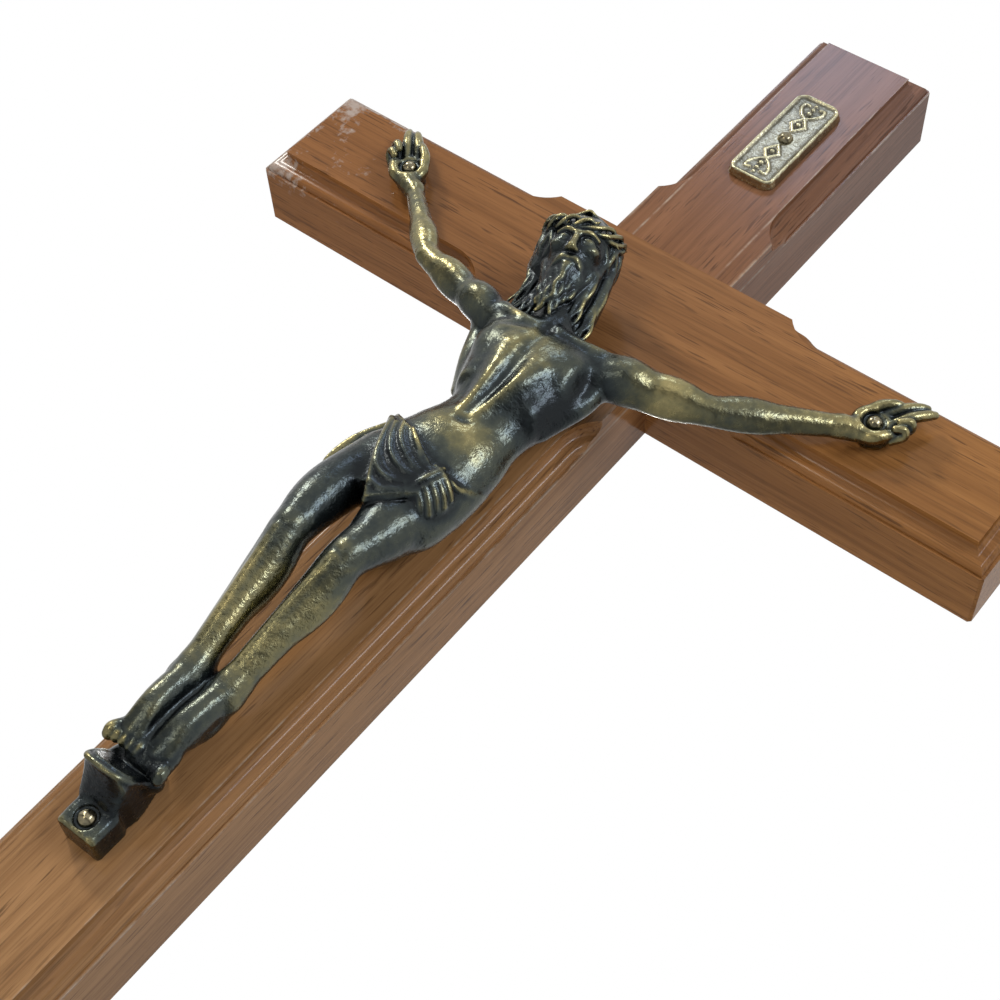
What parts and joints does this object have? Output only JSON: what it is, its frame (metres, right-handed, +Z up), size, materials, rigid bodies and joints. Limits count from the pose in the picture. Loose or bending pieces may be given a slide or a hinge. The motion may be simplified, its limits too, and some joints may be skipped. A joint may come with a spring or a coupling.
{
  "type": "crucifix",
  "caption": "Wall crucifix: half-lapped wooden cross with stopped ogee moulding, a cast bronze-finished figure on a foot rest, a rimmed title plate and domed nails, hung by a hole in the back.",
  "frame": {"origin": "centre of the hanging hole's mouth, on the back face of the upright", "axes": "+X to the viewer's right along the crossbar, +Y into the wall, +Z up the upright; the figure faces -Y"},
  "size_m": [0.1778, 0.0436, 0.3048],
  "materials": {
    "wood": "satin lacquered walnut",
    "bronze": "antiqued brass, dark in the hollows and rubbed on the ridges",
    "nail": "polished domed head"
  },
  "bodies": {
    "root": {"upright": "wood", "crossbar": "wood", "corpus": "bronze", "title_plate": "bronze", "title_nail": "nail", "hand_nail_left": "nail", "hand_nail_right": "nail", "foot_nail": "nail"}
  },
  "joints": []
}
